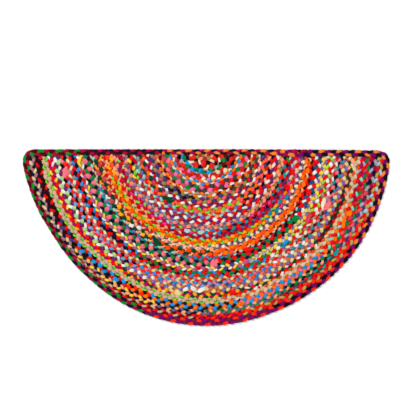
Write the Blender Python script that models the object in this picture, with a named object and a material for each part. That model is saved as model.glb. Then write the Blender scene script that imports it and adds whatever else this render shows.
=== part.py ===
# Half-round doormat of plaited cotton rag.
#
# Twenty-nine half rings of flat three-strand plait lie side by side, sewn edge to edge. Two more
# lengths of plait start part-way round, and one plait binds the whole outline. The mat lies flat,
# with its straight edge towards +Y. Metres, +Z up; the origin is under the middle of the mat.
#
# Places on the mat are given from the centre of the half rings, which is on the straight edge:
# an angle in degrees (180 is left, 270 the bottom of the arc, 360 right) and a distance.

from collections import namedtuple
from math import atan2, cos, degrees, hypot, radians, sin

import bmesh
import bpy
import numpy as np

# Driving dimensions
GAP = 0.0003                # between two plaits that are sewn together
CORNER_RADIUS = 0.028       # outer radius of both corners of the binding
STRAIGHT_BORDER = 0.016     # width of the binding along the straight edge and at its corners
EDGE_DROOP = 0.003          # how far the straight edge falls off towards the right corner
DROOP_REACH = 0.45          # distance from the centre at which it has fallen that far
LOBE_PITCH = 0.0144         # from one lobe of the binding to the next on the same side
CROWN_HEIGHT = 0.009        # top of a row
VALLEY_HEIGHT = 0.0062      # where two rows meet
CROWN_SHARE = (0.28, 0.72)  # part of a row's width where its top starts and ends
CORE_ROWS = 15              # rows nearest the centre, which are true half rings

# Round the mat: how far it reaches, and the widths of what lies outside the field
Around = namedtuple("Around", "angle reach border row_outer row_inner")
AROUND = (
    Around(180, 0.4470, 0.0160, 0.0000, 0.0000),
    Around(186, 0.4452, 0.0160, 0.0000, 0.0000),
    Around(192, 0.4400, 0.0140, 0.0000, 0.0000),
    Around(200, 0.4340, 0.0140, 0.0000, 0.0000),
    Around(210, 0.4272, 0.0140, 0.0000, 0.0000),
    Around(228, 0.4256, 0.0140, 0.0094, 0.0000),
    Around(245, 0.4290, 0.0152, 0.0104, 0.0000),
    Around(270, 0.4332, 0.0165, 0.0114, 0.0000),
    Around(292, 0.4346, 0.0165, 0.0124, 0.0000),
    Around(308, 0.4392, 0.0160, 0.0124, 0.0056),
    Around(325, 0.4454, 0.0160, 0.0134, 0.0112),
    Around(342, 0.4503, 0.0160, 0.0142, 0.0146),
    Around(354, 0.4553, 0.0160, 0.0142, 0.0162),
    Around(360, 0.4562, 0.0160, 0.0142, 0.0162),
)
OUTER_ROW_START = 214.0     # angle at which each added row begins
INNER_ROW_START = 296.5

# Widths of the rows at the bottom of the mat, from the core outwards, in millimetres
ROW_WIDTHS = (
    29.4, 20.1, 11.8, 16.4, 10.5,   # rows 1 to 5
    18.4, 11.0, 15.2, 11.8, 13.4,   # rows 6 to 10
    12.8, 14.4, 11.8, 12.5, 12.2,   # rows 11 to 15
    14.2, 11.1, 15.2, 9.3, 16.4,    # rows 16 to 20
    12.2, 14.2, 11.6, 12.2, 14.2,   # rows 21 to 25
    13.2, 12.3, 15.2, 12.2,         # rows 26 to 29
)

# The binding's section at a lobe on its outer side, and at one on its inner side:
# the share of the width, counted from the outline, and the height
Section = namedtuple("Section", "outer_across outer_height inner_across inner_height")
BORDER_SECTION = (
    Section(0.00, 0.0000, 0.05, 0.0000),
    Section(0.00, 0.0052, 0.05, 0.0046),
    Section(0.22, 0.0100, 0.26, 0.0078),
    Section(0.50, 0.0088, 0.50, 0.0088),
    Section(0.74, 0.0078, 0.78, 0.0100),
    Section(0.95, 0.0046, 1.00, 0.0052),
    Section(0.95, 0.0000, 1.00, 0.0000),
)

# How finely each piece is cut into faces
FIELD_STEPS = 40            # round the field
ADDED_ROW_STEP = 1.5        # degrees along an added row
OUTLINE_STEP = 0.5          # degrees along the arc, before the lobes are spaced out
CORNER_STEPS = 12           # round each corner, likewise

CLOTH_ROUGHNESS = 0.9
CLOTH_COLOURS = {
    "braid_field": (0.60, 0.16, 0.10),
    "added_row_outer": (0.66, 0.05, 0.04),
    "added_row_inner": (0.42, 0.12, 0.30),
    "border_braid": (0.24, 0.02, 0.13),
}


def clear_scene():
    """Remove what a new file holds."""
    for thing in list(bpy.data.objects):
        bpy.data.objects.remove(thing, do_unlink=True)


def polar(distance, angle):
    """A place on the mat as x and y from the centre of the half rings."""
    return np.array((distance * cos(radians(angle)), distance * sin(radians(angle))))


def slope(column, i):
    """Slope of a column of AROUND at row i, level at its ends and wherever it turns."""
    if i in (0, len(AROUND) - 1):
        return 0.0
    before, here, after = AROUND[i - 1 : i + 2]
    rise_in = (getattr(here, column) - getattr(before, column)) / (here.angle - before.angle)
    rise_out = (getattr(after, column) - getattr(here, column)) / (after.angle - here.angle)
    if rise_in * rise_out <= 0.0:
        return 0.0
    return 2.0 * rise_in * rise_out / (rise_in + rise_out)


def around(column, angle):
    """Read a column of AROUND at an angle, on a smooth curve that never overshoots its rows."""
    i = 0
    while i < len(AROUND) - 2 and angle > AROUND[i + 1].angle:
        i += 1
    low, high = AROUND[i], AROUND[i + 1]
    span = high.angle - low.angle
    t = min(max((angle - low.angle) / span, 0.0), 1.0)
    ease = t * t * (3.0 - 2.0 * t)
    value = getattr(low, column) * (1.0 - ease) + getattr(high, column) * ease
    value += t * (1.0 - t) ** 2 * span * slope(column, i)
    value -= t * t * (1.0 - t) * span * slope(column, i + 1)
    return value


def border_inside(angle):
    """Distance to the inner side of the binding along the arc."""
    return around("reach", angle) - around("border", angle)


def outer_row_inside(angle):
    return border_inside(angle) - around("row_outer", angle)


def inner_row_inside(angle):
    return outer_row_inside(angle) - around("row_inner", angle)


def field_edge(angle):
    return inner_row_inside(angle) - GAP


def between_rows(base):
    """The line through the rows that is base metres out at the bottom of the mat.

    The rows near the core are true half rings. Further out they widen or narrow with the field.
    """
    field_depth = field_edge(270)
    core_depth = sum(ROW_WIDTHS[:CORE_ROWS]) / 1000.0
    share = max(0.0, (base - core_depth) / (field_depth - core_depth))

    def distance(angle):
        return base + share * (field_edge(angle) - field_depth)

    return distance


def corner(low, high):
    """Centre of a corner's curve, the angle where the arc runs into it, and its direction there.

    The corner is a circle that touches the straight edge and the arc from inside.
    """
    for _ in range(50):
        middle = (low + high) / 2.0
        place = polar(around("reach", middle), middle)
        ahead = polar(around("reach", middle + 0.05), middle + 0.05)
        back = polar(around("reach", middle - 0.05), middle - 0.05)
        along = (ahead - back) / hypot(*(ahead - back))
        outwards = np.array((along[1], -along[0]))
        centre = place - outwards * CORNER_RADIUS
        too_high = centre[1] > -CORNER_RADIUS
        if too_high == (middle < 270.0):
            low = middle
        else:
            high = middle
    return centre, middle, degrees(atan2(outwards[1], outwards[0]))


LEFT_CORNER, LEFT_ANGLE, LEFT_TURN = corner(180.5, 192.0)
RIGHT_CORNER, RIGHT_ANGLE, RIGHT_TURN = corner(348.0, 359.5)


def clearance(place):
    """How far a place lies inside the binding's straight part and corners, less the gap."""
    below = -STRAIGHT_BORDER - GAP - place[1]
    for centre, side in ((LEFT_CORNER, -1.0), (RIGHT_CORNER, 1.0)):
        if (place[0] - centre[0]) * side > 0.0 and place[1] > centre[1]:
            inner_radius = CORNER_RADIUS - STRAIGHT_BORDER - GAP
            return inner_radius - hypot(*(place - centre))
    return below


def row_end(distance, outside):
    """Angle at which a line through the rows comes in from outside and clears the binding."""
    inside = 270.0
    for _ in range(50):
        middle = (outside + inside) / 2.0
        if clearance(polar(distance(middle), middle)) < -1e-7:
            outside = middle
        else:
            inside = middle
    return inside


def lay(place, height):
    """Lay a point on the mat, with the straight edge falling off a little to the right."""
    x, y = place
    near_edge = 1.0 + y / around("reach", 270)
    return x, y - EDGE_DROOP * max(0.0, x / DROOP_REACH) ** 2 * near_edge, height


def finish(name, bm):
    """Make the mesh one closed body that faces out, as a named object with its own cloth."""
    bmesh.ops.remove_doubles(bm, verts=bm.verts, dist=1e-6)
    bmesh.ops.recalc_face_normals(bm, faces=bm.faces)
    mesh = bpy.data.meshes.new(name)
    bm.to_mesh(mesh)
    bm.free()
    material = bpy.data.materials.new(name + "_cotton")
    material.use_nodes = True
    shader = material.node_tree.nodes["Principled BSDF"]
    shader.inputs["Base Color"].default_value = (*CLOTH_COLOURS[name], 1.0)
    shader.inputs["Roughness"].default_value = CLOTH_ROUGHNESS
    shader.inputs["Metallic"].default_value = 0.0
    mesh.materials.append(material)
    piece = bpy.data.objects.new(name, mesh)
    bpy.context.scene.collection.children["half_round_doormat"].objects.link(piece)
    return piece


def ribbed_cloth(name, lines, steps):
    """A flat-bottomed sheet whose upper face runs through the lines.

    Each line is a distance function, a height, and the angles where it starts and ends.
    """
    bm = bmesh.new()
    bmesh.ops.create_grid(bm, x_segments=steps, y_segments=len(lines) - 1, size=0.5)
    for vert in bm.verts:
        share = vert.co.x + 0.5
        distance, height, start, end = lines[round((vert.co.y + 0.5) * (len(lines) - 1))]
        angle = start + (end - start) * share
        vert.co = lay(polar(distance(angle), angle), height)
    bmesh.ops.remove_doubles(bm, verts=bm.verts, dist=1e-6)
    rim = [edge for edge in bm.edges if edge.is_boundary]
    skirt = bmesh.ops.extrude_edge_only(bm, edges=rim)["geom"]
    for vert in skirt:
        if isinstance(vert, bmesh.types.BMVert):
            vert.co.z = 0.0
    foot = [edge for edge in skirt if isinstance(edge, bmesh.types.BMEdge)]
    bmesh.ops.contextual_create(bm, geom=foot)
    return finish(name, bm)


def braid_field():
    """The rows that run the whole way round, sewn into one flat field with a rib for each row."""
    apex = STRAIGHT_BORDER + GAP
    lines = [(lambda angle: apex, VALLEY_HEIGHT, 270.0, 270.0)]
    inner = 0.0
    for width in ROW_WIDTHS:
        outer = inner + width / 1000.0
        low = max(inner, apex)
        for share, height in (*((part, CROWN_HEIGHT) for part in CROWN_SHARE), (1.0, VALLEY_HEIGHT)):
            distance = between_rows(low + (outer - low) * share)
            lines.append((distance, height, row_end(distance, 180.0), row_end(distance, 360.0)))
        inner = outer
    return ribbed_cloth("braid_field", lines, FIELD_STEPS)


def added_row(name, inside, outside, start):
    """A length of plait that is sewn in part-way round and ends at the straight edge."""
    lines = []
    for share, height in ((0.0, VALLEY_HEIGHT), (CROWN_SHARE[0], CROWN_HEIGHT),
                          (CROWN_SHARE[1], CROWN_HEIGHT), (1.0, VALLEY_HEIGHT)):

        def distance(angle, share=share):
            inner = inside(angle)
            return inner + (outside(angle) - GAP - inner) * share

        lines.append((distance, height, start, row_end(distance, 360.0)))
    steps = round((360.0 - start) / ADDED_ROW_STEP)
    return ribbed_cloth(name, lines, steps)


def binding_stations():
    """Outer and inner edge of the binding, station by station, once round the mat."""
    stations = []
    for angle in np.arange(LEFT_ANGLE, RIGHT_ANGLE, OUTLINE_STEP):
        stations.append((polar(around("reach", angle), angle), polar(border_inside(angle), angle)))
    inner_radius = CORNER_RADIUS - STRAIGHT_BORDER
    for centre, first, last in ((RIGHT_CORNER, RIGHT_TURN, 90.0),
                                (LEFT_CORNER, 90.0, LEFT_TURN % 360.0)):
        for turn in np.linspace(first, last, CORNER_STEPS + 1):
            stations.append((centre + polar(CORNER_RADIUS, turn), centre + polar(inner_radius, turn)))
    return np.array(stations)


def border_braid():
    """The binding, with the lobes of its plait raised by turns on its outer and inner side."""
    stations = binding_stations()
    closed = np.concatenate((stations, stations[:1]))
    steps = np.hypot(*np.diff(closed[:, 0], axis=0).T)
    run = np.concatenate(((0.0,), np.cumsum(steps)))
    count = 2 * round(run[-1] / LOBE_PITCH)
    bm = bmesh.new()
    bmesh.ops.create_grid(bm, x_segments=count, y_segments=len(BORDER_SECTION), size=0.5)
    for vert in bm.verts:
        number = round((vert.co.x + 0.5) * count) % count
        part = BORDER_SECTION[round((vert.co.y + 0.5) * len(BORDER_SECTION)) % len(BORDER_SECTION)]
        at = run[-1] * number / count
        outer = np.array([np.interp(at, run, closed[:, 0, axis]) for axis in (0, 1)])
        inner = np.array([np.interp(at, run, closed[:, 1, axis]) for axis in (0, 1)])
        if number % 2:
            across, height = part.inner_across, part.inner_height
        else:
            across, height = part.outer_across, part.outer_height
        vert.co = lay(outer + (inner - outer) * across, height)
    return finish("border_braid", bm)


def main():
    clear_scene()
    collection = bpy.data.collections.new("half_round_doormat")
    bpy.context.scene.collection.children.link(collection)
    binding = border_braid()
    pieces = [
        binding,
        braid_field(),
        added_row("added_row_outer", outer_row_inside, border_inside, OUTER_ROW_START),
        added_row("added_row_inner", inner_row_inside, outer_row_inside, INNER_ROW_START),
    ]
    across = [vert.co.x for vert in binding.data.vertices]
    along = [vert.co.y for vert in binding.data.vertices]
    middle = ((min(across) + max(across)) / 2.0, (min(along) + max(along)) / 2.0)
    for piece in pieces:
        piece.location = (-middle[0], -middle[1], 0.0)


main()
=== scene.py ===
# %% [markdown]
# # A half-round doormat of plaited cotton rag
#
# The real mat is made of cotton cloth torn into strips. Three strips are plaited into a flat band,
# the band is laid in half rings, and the rings are sewn edge to edge. One more plait binds the
# outline. The strips are left-over cloths, so the colours change all the way round.
#
# The solid mat that is loaded here has the right outline, rows and sizes, but its plaits are plain
# ribs. Here the plaits are made strip by strip, in the same places, and stand for the solids.

# %% Load the solid mat and keep its box
from collections import namedtuple
from math import atan2, degrees, hypot, pi, radians, sqrt

import bmesh
import bpy
import numpy as np
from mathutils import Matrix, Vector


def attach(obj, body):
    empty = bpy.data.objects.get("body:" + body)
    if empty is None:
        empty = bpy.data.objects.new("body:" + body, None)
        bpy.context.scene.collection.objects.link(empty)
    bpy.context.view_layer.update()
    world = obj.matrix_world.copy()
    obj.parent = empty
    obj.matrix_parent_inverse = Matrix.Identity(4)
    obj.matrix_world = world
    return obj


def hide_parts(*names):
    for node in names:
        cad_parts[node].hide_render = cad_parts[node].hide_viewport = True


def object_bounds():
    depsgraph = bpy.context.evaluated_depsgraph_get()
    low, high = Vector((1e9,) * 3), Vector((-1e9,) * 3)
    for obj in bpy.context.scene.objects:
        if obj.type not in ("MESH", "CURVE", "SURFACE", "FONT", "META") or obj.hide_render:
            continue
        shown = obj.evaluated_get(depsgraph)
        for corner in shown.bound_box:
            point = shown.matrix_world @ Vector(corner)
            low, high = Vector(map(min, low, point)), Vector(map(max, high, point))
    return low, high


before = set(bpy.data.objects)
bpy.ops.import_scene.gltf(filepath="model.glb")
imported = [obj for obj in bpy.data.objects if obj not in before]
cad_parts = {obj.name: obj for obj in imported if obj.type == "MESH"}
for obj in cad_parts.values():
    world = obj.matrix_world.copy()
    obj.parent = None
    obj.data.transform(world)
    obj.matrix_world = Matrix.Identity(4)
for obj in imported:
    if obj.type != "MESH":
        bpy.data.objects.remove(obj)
cad_low, cad_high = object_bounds()
print("solid mat:", [round(1000 * size, 1) for size in cad_high - cad_low], "mm")

# %% [markdown]
# ## The plan of the mat
#
# A rug maker would draw the rows first. All places are given from the centre of the half rings,
# which lies on the straight edge, as an angle (180 is left, 270 the bottom, 360 right) and a
# distance. The mat isn't a true half circle, so a short table says how far it reaches at a few
# angles and how wide the plaits outside the field are there. A smooth curve is read through it.

# %% Outline, binding and added rows round the mat
Around = namedtuple("Around", "angle reach border row_outer row_inner")
AROUND = (
    Around(180, 0.4470, 0.0160, 0.0000, 0.0000),
    Around(186, 0.4452, 0.0160, 0.0000, 0.0000),
    Around(192, 0.4400, 0.0140, 0.0000, 0.0000),
    Around(200, 0.4340, 0.0140, 0.0000, 0.0000),
    Around(210, 0.4272, 0.0140, 0.0000, 0.0000),
    Around(228, 0.4256, 0.0140, 0.0094, 0.0000),
    Around(245, 0.4290, 0.0152, 0.0104, 0.0000),
    Around(270, 0.4332, 0.0165, 0.0114, 0.0000),
    Around(292, 0.4346, 0.0165, 0.0124, 0.0000),
    Around(301, 0.4370, 0.0162, 0.0124, 0.0080),
    Around(310, 0.4398, 0.0160, 0.0124, 0.0100),
    Around(325, 0.4454, 0.0160, 0.0134, 0.0112),
    Around(342, 0.4503, 0.0160, 0.0142, 0.0146),
    Around(354, 0.4553, 0.0160, 0.0142, 0.0162),
    Around(360, 0.4562, 0.0160, 0.0142, 0.0162),
)
CORNER_RADIUS = 0.028   # of the outline, at both ends of the straight edge
CORNER_BORDER = 0.016   # width of the binding round the corners
EDGE_DROOP = 0.003      # how far the straight edge falls off towards the right corner
DROOP_REACH = 0.45      # distance from the centre at which it has fallen off that far


def around(column, angles):
    """Read a column of AROUND at some angles, on a smooth curve that never overshoots its rows."""
    at = np.array([row.angle for row in AROUND], float)
    value = np.array([getattr(row, column) for row in AROUND])
    rise = np.diff(value) / np.diff(at)
    slope = np.zeros(len(at))
    steady = rise[:-1] * rise[1:] > 0.0
    total = np.where(steady, rise[:-1] + rise[1:], 1.0)
    slope[1:-1] = np.where(steady, 2.0 * rise[:-1] * rise[1:] / total, 0.0)
    i = np.clip(np.searchsorted(at, angles, side="right") - 1, 0, len(at) - 2)
    span = at[i + 1] - at[i]
    t = np.clip((angles - at[i]) / span, 0.0, 1.0)
    ease = t * t * (3.0 - 2.0 * t)
    bend = t * (1.0 - t) ** 2 * slope[i] - t * t * (1.0 - t) * slope[i + 1]
    return value[i] * (1.0 - ease) + value[i + 1] * ease + span * bend


def polar(distance, angles):
    """Places on the mat as x and y, one row for each angle."""
    turn = np.radians(angles)
    return np.stack((distance * np.cos(turn), distance * np.sin(turn)), axis=-1)


print("depth of the mat:", round(1000 * float(around("reach", 270)), 1), "mm")

# %% [markdown]
# ## The rows of the field
#
# The field has 29 rows of plait. Their widths are given at the bottom of the mat, from the core
# outwards. The 15 rows near the core are true half rings, and further out the rows widen or narrow
# so that they always fill the field. Hand sewing also pulls some rows off their ring, which two
# soft humps stand for, and leaves no row quite even, which a few added waves stand for.

# %% Edges of the rows
ROW_WIDTHS = (
    29.4, 20.1, 11.8, 16.4, 10.5,   # rows 1 to 5, in millimetres
    18.4, 11.0, 15.2, 11.8, 13.4,   # rows 6 to 10
    12.8, 14.4, 11.8, 12.5, 12.2,   # rows 11 to 15
    14.2, 11.1, 15.2, 9.3, 16.4,    # rows 16 to 20
    12.2, 14.2, 11.6, 12.2, 14.2,   # rows 21 to 25
    13.2, 12.3, 15.2, 12.2,         # rows 26 to 29
)
CORE_ROWS = 15
CORE_HOLLOW = 0.011     # the first row bends round this, which the binding covers

# Where the sewing pulled the rows outwards: round which angle and ring, and by how much
Pull = namedtuple("Pull", "angle angle_reach ring ring_reach outwards")
PULLS = (
    Pull(188, 36, 0.205, 0.130, 0.0042),
    Pull(346, 34, 0.085, 0.080, 0.0048),
)

# Hand work wanders: in waves of about a length, by about a size
Wander = namedtuple("Wander", "length size")
ROW_WANDER = Wander(0.09, 0.0007)
ROW_SEED = 900
WAVES = 4
WAVE_LENGTHS = (0.6, 1.7)       # shortest and longest wave, as shares of the wander's length


def hump(distance, reach):
    """1 in the middle, falling smoothly to 0 at the reach."""
    t = np.clip(np.abs(distance) / reach, 0.0, 1.0)
    return (1.0 - t * t) ** 2


def waver(rng, run, wander):
    """A smooth random wander along a run: a few waves of like lengths, added up."""
    total = np.zeros_like(run)
    for _ in range(WAVES):
        wave = wander.length * rng.uniform(*WAVE_LENGTHS)
        total += np.sin(2.0 * pi * run / wave + rng.uniform(0.0, 2.0 * pi))
    return total * wander.size / sqrt(WAVES)


def border_inside(angles):
    """The line where the binding ends and the outer added row begins."""
    return around("reach", angles) - around("border", angles)


def outer_row_inside(angles):
    """The line between the two added rows."""
    return border_inside(angles) - around("row_outer", angles)


def field_edge(angles):
    """The line round the field's last row."""
    return outer_row_inside(angles) - around("row_inner", angles)


def row_edge(row):
    """The outer edge of a row, as a function of the angle."""
    base = sum(ROW_WIDTHS[:row]) / 1000.0
    core = sum(ROW_WIDTHS[:CORE_ROWS]) / 1000.0
    depth = sum(ROW_WIDTHS) / 1000.0
    share = max(0.0, (base - core) / (depth - core))

    def distance(angles):
        """How far the edge is from the centre at some angles."""
        if row == 0:
            return np.full(np.shape(angles), CORE_HOLLOW)
        edge = base + share * (field_edge(angles) - depth)
        for pull in PULLS:
            there = hump(angles - pull.angle, pull.angle_reach)
            there = there * hump(base - pull.ring, pull.ring_reach)
            edge = edge + pull.outwards * there
        if row < len(ROW_WIDTHS):
            rng = np.random.default_rng(ROW_SEED + row)
            edge += waver(rng, base * np.radians(angles), ROW_WANDER)
        return edge

    return distance


print("rows:", len(ROW_WIDTHS), "mean width:", round(sum(ROW_WIDTHS) / len(ROW_WIDTHS), 1), "mm")

# %% [markdown]
# ## The corners and the place on the floor
#
# The binding turns each corner on a circle that touches the straight edge and the arc from inside.
# The angle where it leaves the arc has no simple formula, so halving finds it. Once the outline is
# known, the plan is shifted to where the solid mat lies.

# %% Corners, and from the plan to the floor
HALVINGS = 50
NEARBY = 0.05           # degrees to either side, between which the arc's direction is taken
ARC_PLACES = 721        # places on the arc between the corners


def corner(low, high):
    """Centre of a corner's circle, the angle where it leaves the arc, and its direction there."""
    for _ in range(HALVINGS):
        angle = (low + high) / 2.0
        place = polar(around("reach", angle), angle)
        near = np.array((angle - NEARBY, angle + NEARBY))
        back, ahead = polar(around("reach", near), near)
        along = (ahead - back) / hypot(*(ahead - back))
        outwards = np.array((along[1], -along[0]))
        centre = place - outwards * CORNER_RADIUS
        if (centre[1] > -CORNER_RADIUS) == (angle < 270.0):
            low = angle
        else:
            high = angle
    return centre, angle, degrees(atan2(outwards[1], outwards[0]))


LEFT_CORNER, LEFT_ANGLE, LEFT_TURN = corner(180.5, 192.0)
RIGHT_CORNER, RIGHT_ANGLE, RIGHT_TURN = corner(348.0, 359.5)
ARC = np.linspace(LEFT_ANGLE, RIGHT_ANGLE, ARC_PLACES)
LEFT_END = LEFT_CORNER[0] - CORNER_RADIUS
LEFT_END = min(LEFT_END, polar(around("reach", ARC), ARC)[:, 0].min())
CENTRE = np.array((cad_low.x - LEFT_END, cad_high.y))


def on_floor(places):
    """From the plan to the floor. The straight edge falls off to the right, the bottom doesn't."""
    x, y = np.moveaxis(np.asarray(places, float), -1, 0)
    near_edge = 1.0 + y / around("reach", 270)
    droop = EDGE_DROOP * np.maximum(0.0, x / DROOP_REACH) ** 2 * near_edge
    return np.stack((x, y - droop), axis=-1) + CENTRE


print("centre of the rings at", (1000 * CENTRE).round(1), "mm")

# %% [markdown]
# ## Paths
#
# Each plait follows a path: places on the floor, the direction that points away from the centre of
# the mat, the width of the plait there, and a mark by which its colours are looked up. A row's
# path runs half-way between its edges. Its ends are tucked a little way under the binding.

# %% The path of a plait
Path = namedtuple("Path", "place out width mark")
PATH_STEP = 0.05        # degrees from one place on a row's path to the next
TUCK = 0.004            # how far a row's ends reach under the binding
CROWDING = 1.24         # plaits are this much wider than their rows, and press into one another

# Visible width of the binding along the straight edge: in the middle it is sewn on half upright
EdgeWidth = namedtuple("EdgeWidth", "x width")
EDGE_WIDTHS = (
    EdgeWidth(-0.430, 0.0175),
    EdgeWidth(-0.390, 0.0175),
    EdgeWidth(-0.340, 0.0155),
    EdgeWidth(-0.240, 0.0130),
    EdgeWidth(0.120, 0.0125),
    EdgeWidth(0.178, 0.0150),
    EdgeWidth(0.215, 0.0188),
    EdgeWidth(0.262, 0.0186),
    EdgeWidth(0.300, 0.0162),
    EdgeWidth(0.430, 0.0162),
)


def edge_width(x):
    """Width of the binding at a place along the straight edge."""
    return np.interp(x, [at.x for at in EDGE_WIDTHS], [at.width for at in EDGE_WIDTHS])


def clearance(places):
    """How far places lie inside the inner line of the binding's straight part and corners."""
    x, y = places[:, 0], places[:, 1]
    clear = -edge_width(x) - y
    for centre, side in ((LEFT_CORNER, -1.0), (RIGHT_CORNER, 1.0)):
        round_corner = CORNER_RADIUS - CORNER_BORDER - np.hypot(x - centre[0], y - centre[1])
        in_corner = ((x - centre[0]) * side > 0.0) & (y > centre[1])
        clear = np.where(in_corner, round_corner, clear)
    return clear


def row_path(inside, outside, start=180.0):
    """The path of a row between two edges, from its start, or from the binding, to the right."""
    angles = np.arange(start, 360.0, PATH_STEP)
    places = polar((inside(angles) + outside(angles)) / 2.0, angles)
    clear = clearance(places) > -TUCK
    angles, places = angles[clear], places[clear]
    away = places / np.hypot(*places.T)[:, None]
    width = (outside(angles) - inside(angles)) * CROWDING
    return Path(on_floor(places), away, width, angles)


paths = {}
for row in range(1, len(ROW_WIDTHS) + 1):
    paths[row] = row_path(row_edge(row - 1), row_edge(row))
print("a middle row runs from", paths[15].mark[[0, -1]].round(1), "degrees")

# %% [markdown]
# ## Named cloths
#
# A rag maker sorts the strips by colour. Each cloth here has a plain name, a colour as it looks in
# daylight, and how heathered it is: 0 is evenly dyed and 1 is strongly flecked.

# %% The cloths
Cloth = namedtuple("Cloth", "red green blue heather")
CLOTHS = {
    "red": Cloth(232, 10, 14, 0.0),
    "scarlet": Cloth(255, 40, 14, 0.0),
    "carmine": Cloth(206, 4, 24, 0.0),
    "crimson": Cloth(164, 0, 56, 0.0),
    "poppy": Cloth(226, 22, 16, 0.05),
    "brick": Cloth(176, 18, 20, 0.1),
    "coral": Cloth(252, 80, 80, 0.1),
    "rosered": Cloth(214, 44, 72, 0.20),
    "pink": Cloth(236, 104, 150, 0.20),
    "candy": Cloth(248, 106, 124, 0.15),
    "hotpink": Cloth(242, 40, 130, 0.1),
    "dustyrose": Cloth(188, 66, 108, 0.35),
    "magenta": Cloth(180, 0, 84, 0.0),
    "salmon": Cloth(250, 140, 108, 0.20),
    "peach": Cloth(250, 160, 112, 0.20),
    "orange": Cloth(255, 112, 0, 0.0),
    "tangerine": Cloth(255, 76, 0, 0.0),
    "apricot": Cloth(246, 126, 26, 0.15),
    "amber": Cloth(250, 162, 10, 0.0),
    "yellow": Cloth(244, 204, 56, 0.0),
    "mustard": Cloth(190, 160, 62, 0.40),
    "olive": Cloth(150, 124, 16, 0.40),
    "lime": Cloth(110, 214, 60, 0.0),
    "chartreuse": Cloth(164, 208, 30, 0.1),
    "mint": Cloth(166, 212, 128, 0.30),
    "seafoam": Cloth(140, 206, 184, 0.30),
    "green": Cloth(0, 128, 62, 0.0),
    "leaf": Cloth(0, 142, 36, 0.0),
    "bottle": Cloth(0, 66, 42, 0.0),
    "teal": Cloth(0, 148, 146, 0.0),
    "lagoon": Cloth(0, 130, 172, 0.0),
    "petrol": Cloth(0, 84, 130, 0.0),
    "sky": Cloth(16, 146, 216, 0.0),
    "cornflower": Cloth(112, 152, 214, 0.40),
    "paleblue": Cloth(168, 204, 214, 0.30),
    "silver": Cloth(158, 162, 180, 0.50),
    "slate": Cloth(72, 78, 118, 0.50),
    "navy": Cloth(8, 14, 46, 0.0),
    "indigo": Cloth(40, 36, 110, 0.2),
    "violetblue": Cloth(114, 90, 182, 0.30),
    "purple": Cloth(104, 12, 96, 0.1),
    "violet": Cloth(118, 0, 100, 0.0),
    "plum": Cloth(104, 8, 62, 0.05),
    "mauve": Cloth(162, 104, 122, 0.50),
    "taupe": Cloth(164, 130, 120, 0.60),
    "maroon": Cloth(104, 2, 14, 0.0),
    "wine": Cloth(76, 0, 16, 0.0),
    "rust": Cloth(200, 62, 46, 0.50),
    "cinnamon": Cloth(206, 98, 30, 0.20),
    "tan": Cloth(216, 176, 128, 0.70),
    "sand": Cloth(228, 194, 144, 0.50),
    "straw": Cloth(232, 208, 132, 0.40),
    "cream": Cloth(236, 216, 176, 0.20),
    "white": Cloth(234, 228, 218, 0.10),
    "grey": Cloth(132, 138, 142, 0.60),
    "charcoal": Cloth(46, 40, 42, 0.2),
    "black": Cloth(10, 8, 12, 0.0),
    "umber": Cloth(36, 8, 16, 0.0),
}


def daylight(cloth):
    """The cloth's colour as the renderer counts light: this undoes the curve that screens use."""
    seen = np.array((cloth.red, cloth.green, cloth.blue)) / 255.0
    linear = np.where(seen <= 0.04045, seen / 12.92, ((seen + 0.055) / 1.055) ** 2.4)
    return (*linear, 1.0)


print("cloths:", len(CLOTHS))

# %% [markdown]
# ## How three strips are plaited
#
# Seen from above, each strip of a flat plait swings from side to side. It lies on top while it
# runs from an edge to the middle, dives under the next strip there, and comes back up at the other
# edge. So its height goes through two waves while it swings once from side to side and back, and
# the three strips are a third of a swing apart. Sines make this path at once, without simulation.
#
# Each strip is a flat sheet of cloth, folded in from both sides until its raw edges meet below. It
# could be a tube on a curve, but a sheet is what the maker folds: here a flat grid is made with
# bmesh, one row of points across the strip for each step along it, and every point is then moved
# to where it lies in the plait.

# %% Sizes of the strips
STRIPS = 3              # in each plait
ROW_HEIGHT = 0.0088     # of the plaits in the field and of the added rows
BORDER_HEIGHT = 0.0098  # of the binding
STEPS_PER_SWING = 15    # a swing takes a strip across the plait and back again
FACES_ACROSS = 12       # faces across a strip, which has one point more
SEAM_OVERLAP = 8.0      # degrees by which one raw edge laps over the other
FIRST_FOLD = -104.0     # where the lower raw edge lies, in degrees round the folded strip
TUCKED_EDGE = 0.78      # the lower raw edge lies inside, at this share of the radius
SIDE_POWER = 0.55       # cut across, a folded strip is boxier than an oval,
TOP_POWER = 0.34        # for which both powers would be 1
STRIP_SHARE = 0.40      # width of a folded strip, as a share of the plait's
THICK_SHARE = 0.30      # its thickness, as a share of the plait's height
BROAD_POWER = -0.3      # the broader a strip is torn, the thinner it folds
BROAD_LIFT = 0.8        # how far a broad place rides up over the other strips, and they dive
QUICK_TURN = -0.25      # most strips run straight from edge to edge and turn quickly
SLOW_TURN = 0.65        # some dwell at the edges of their plait, which evens it out
EARLY = 0.35            # how early a strip rises over the others, in radians
LEAN = radians(3)       # how far a strip leans outwards at the edge of the plait
LEAN_RISE = 1.5         # it leans fully a little before it lies fully on top
PLUMPNESS = 0.04        # how much fuller a strip gets on top, and how much slimmer below
PRESSED_END = 0.012     # length over which a tucked end is pressed down
END_HEIGHT = 0.45       # share of its height that is left at the end

# How unevenly the strips are plaited and torn
PACE = Wander(0.11, 0.12)               # all three together, in radians of a swing
STRIP_PACE = Wander(0.05, 0.16)         # one against the other two, in radians of a swing
STRIP_WIDTH = Wander(0.02, 0.13)        # as a share of the width
STRIP_THICKNESS = Wander(0.013, 0.08)   # as a share of the thickness
SIDE_STEP = Wander(0.03, 0.0004)
TWIST = Wander(0.04, 0.06)              # in radians


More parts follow.
